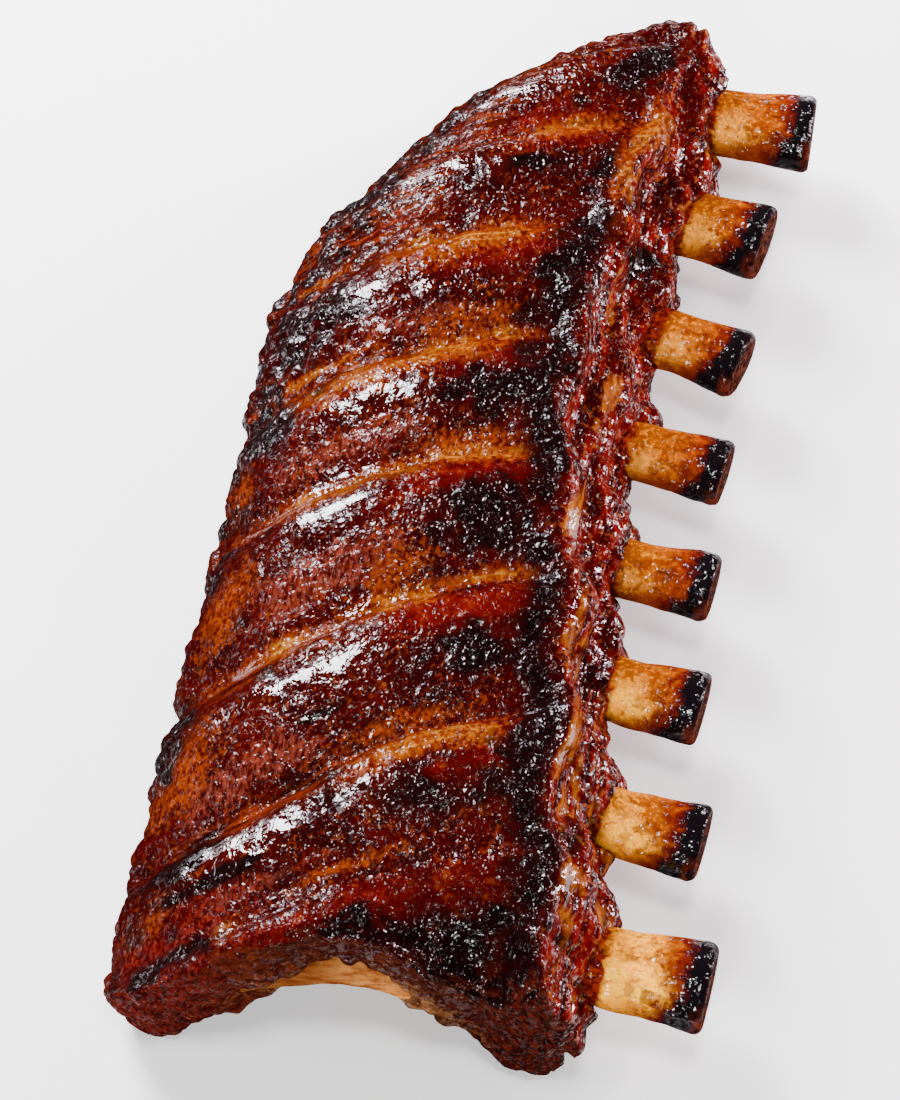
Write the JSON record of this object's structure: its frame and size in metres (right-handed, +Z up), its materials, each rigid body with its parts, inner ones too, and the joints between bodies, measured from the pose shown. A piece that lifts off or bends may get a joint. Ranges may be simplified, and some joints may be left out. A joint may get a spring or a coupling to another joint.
{
  "type": "rack of barbecue spareribs",
  "caption": "Arched rack of glazed, charred spareribs with bared rib bone ends along one side, lying meat side up.",
  "frame": {"origin": "on the rest plane, below the middle of the whole rack with its bones", "axes": "+Y along the rack from the cut near end to the tapered far end, +X towards the bared bone ends, +Z up out of the meat side"},
  "size_m": [0.14, 0.3086, 0.0491],
  "materials": {
    "glazed_meat": "sticky mahogany glaze over browned meat, charred black in patches, golden in the hollows",
    "bone": "roasted ivory bone stained amber, charred black at the tips"
  },
  "bodies": {
    "root": {"meat": "glazed_meat", "rib_bone_1": "bone", "rib_bone_2": "bone", "rib_bone_3": "bone", "rib_bone_4": "bone", "rib_bone_5": "bone", "rib_bone_6": "bone", "rib_bone_7": "bone", "rib_bone_8": "bone"}
  },
  "joints": []
}
